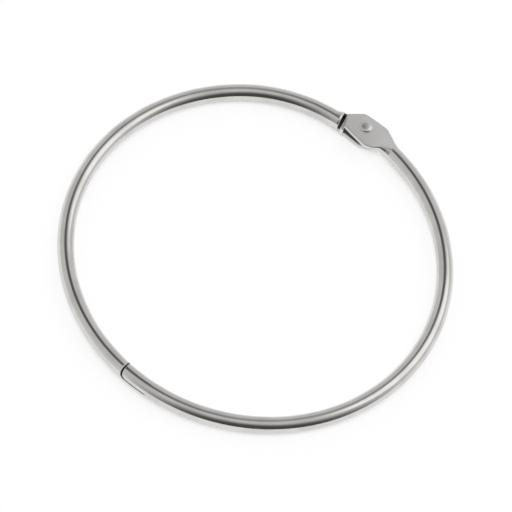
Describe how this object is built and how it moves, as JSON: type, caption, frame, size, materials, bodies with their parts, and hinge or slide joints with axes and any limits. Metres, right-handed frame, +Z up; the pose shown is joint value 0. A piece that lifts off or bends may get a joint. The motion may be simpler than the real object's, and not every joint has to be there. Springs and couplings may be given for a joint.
{
  "type": "binder ring",
  "caption": "Hinged book ring of round plated wire: half rings riveted at a flat-leaf hinge, with lapped, toothed free ends that meet to close the loop.",
  "frame": {"origin": "middle of the closed ring's outline in X and Y, on the plane of its lowest point, the underside of the rivet's tail", "axes": "+Z up, square to the plane of the ring; +Y from the closure towards the hinge; +X towards the half that stays still"},
  "size_m": [0.083, 0.0844, 0.0044],
  "materials": {
    "wire": "bright nickel plate on drawn steel wire, satin where the ends are pressed flat",
    "rivet": "nickel plated steel, a little duller than the wire"
  },
  "bodies": {
    "fixed_half": {"fixed_half_ring": "wire", "hinge_rivet": "rivet"},
    "swing_half": {"swing_half_ring": "wire"}
  },
  "joints": [
    {"name": "hinge", "type": "hinge", "parent": "fixed_half", "child": "swing_half", "pos_m": [0, 0.03902, 0.00215], "axis": [0, 0, -1], "range_deg": [0, 90]}
  ]
}
